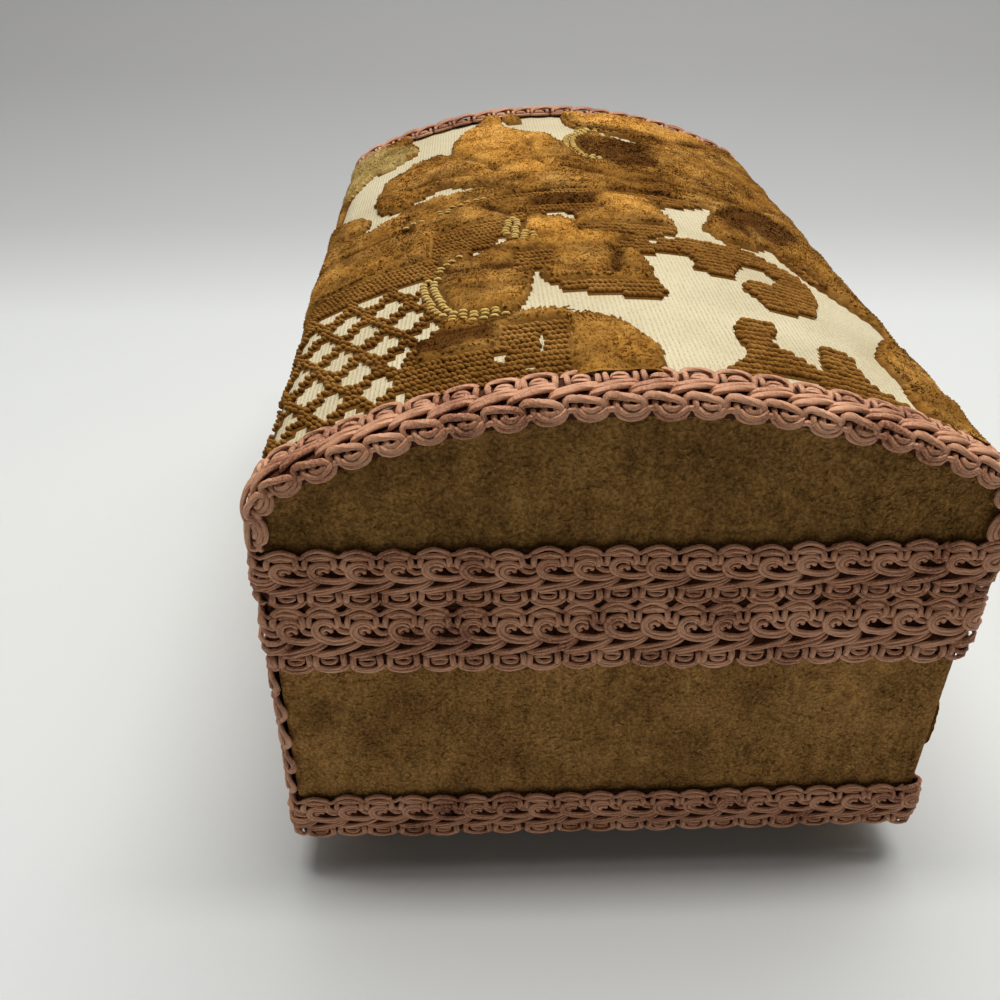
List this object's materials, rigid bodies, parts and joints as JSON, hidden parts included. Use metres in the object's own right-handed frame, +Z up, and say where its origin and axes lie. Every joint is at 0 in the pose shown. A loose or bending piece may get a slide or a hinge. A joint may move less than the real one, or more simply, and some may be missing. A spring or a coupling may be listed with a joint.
{
  "type": "musical jewelry box",
  "caption": "Vault-lidded musical jewelry box covered in velvet and brocade with braid trim, a hinged lid, a winding key and a pinned-cylinder movement.",
  "frame": {"origin": "on the table, under the centre of the box", "axes": "+X along the length, -Y is the front, +Y is the hinge side, +Z up"},
  "size_m": [0.2, 0.1265, 0.1079],
  "materials": {
    "wood": "bare board",
    "card": "bent pressed board",
    "velvet": "olive-brown short velvet",
    "brocade": "cream ribbed ground with golden-brown pile",
    "gimp": "corded scroll braid",
    "dark_wood": "turned and stained",
    "satin": "gold satin",
    "brass": "satin",
    "steel": "brushed",
    "cast_metal": "die-cast, plated",
    "plastic": "moulded",
    "mirror_glass": "silvered glass"
  },
  "bodies": {
    "case": {"front_wall": "wood", "back_wall": "wood", "left_end_wall": "wood", "right_end_wall": "wood", "bottom_board": "wood", "divider": "wood", "platform_ledges": "wood", "movement_platform": "wood", "left_end_velvet": "velvet", "right_end_velvet": "velvet", "front_brocade": "brocade", "back_brocade": "brocade", "base_gimp": "gimp", "body_rim_gimp": "gimp", "corner_gimps": "gimp", "feet": "dark_wood", "well_wall_lining": "satin", "well_floor_pad": "satin", "ring_tray_lining": "satin", "ring_rolls": "satin", "hinge_body_leaves": "brass", "hinge_pins": "steel", "movement_bedplate": "cast_metal", "comb": "steel", "governor_bracket": "brass"},
    "lid": {"lid_front_rail": "wood", "lid_back_rail": "wood", "lid_left_end": "wood", "lid_right_end": "wood", "lid_dome_panel": "card", "lid_brocade_cover": "brocade", "lid_left_velvet": "velvet", "lid_right_velvet": "velvet", "lid_arch_gimp_left": "gimp", "lid_arch_gimp_right": "gimp", "lid_rim_gimp": "gimp", "lid_lining_board": "wood", "lid_satin_lining": "satin", "mirror": "mirror_glass", "hinge_lid_leaves": "brass"},
    "winding_key": {"winding_key": "brass", "winding_arbor": "steel"},
    "spring_barrel": {"spring_barrel": "brass"},
    "cylinder": {"pinned_cylinder": "brass", "cylinder_arbor": "steel", "cylinder_gear": "brass"},
    "governor": {"governor_arbor": "steel", "governor_wheel": "brass"},
    "fan": {"governor_worm": "steel", "governor_fan": "plastic"},
    "stop_wire": {"stop_wire": "steel"}
  },
  "joints": [
    {"name": "lid_hinge", "type": "hinge", "parent": "case", "child": "lid", "pos_m": [0, 0.0625, 0.0692], "axis": [-1, 0, 0], "range_deg": [0, 100]},
    {"name": "key_turn", "type": "hinge", "parent": "case", "child": "winding_key", "pos_m": [-0.063, 0.018, 0.01], "axis": [0, 0, 1], "continuous": true},
    {"name": "barrel_turn", "type": "hinge", "parent": "case", "child": "spring_barrel", "pos_m": [-0.063, 0.018, 0.025], "axis": [0, 0, 1], "continuous": true},
    {"name": "cylinder_turn", "type": "hinge", "parent": "case", "child": "cylinder", "pos_m": [-0.063, -0.005, 0.03439], "axis": [0, 1, 0], "continuous": true},
    {"name": "governor_turn", "type": "hinge", "parent": "case", "child": "governor", "pos_m": [-0.07315, -0.014, 0.03439], "axis": [0, 1, 0], "continuous": true},
    {"name": "fan_turn", "type": "hinge", "parent": "case", "child": "fan", "pos_m": [-0.0788, -0.016, 0.03439], "axis": [0, 0, 1], "continuous": true},
    {"name": "stop_slide", "type": "slide", "parent": "case", "child": "stop_wire", "axis": [0, 0, 1], "range_m": [0, 0.003]}
  ],
  "couplings": [
    {"joint": "cylinder_turn", "follows": "barrel_turn", "ratio": -2.5},
    {"joint": "governor_turn", "follows": "barrel_turn", "ratio": 7.5},
    {"joint": "fan_turn", "follows": "barrel_turn", "ratio": -120},
    {"joint": "stop_slide", "follows": "lid_hinge", "m_per_rad": 0.0017}
  ]
}
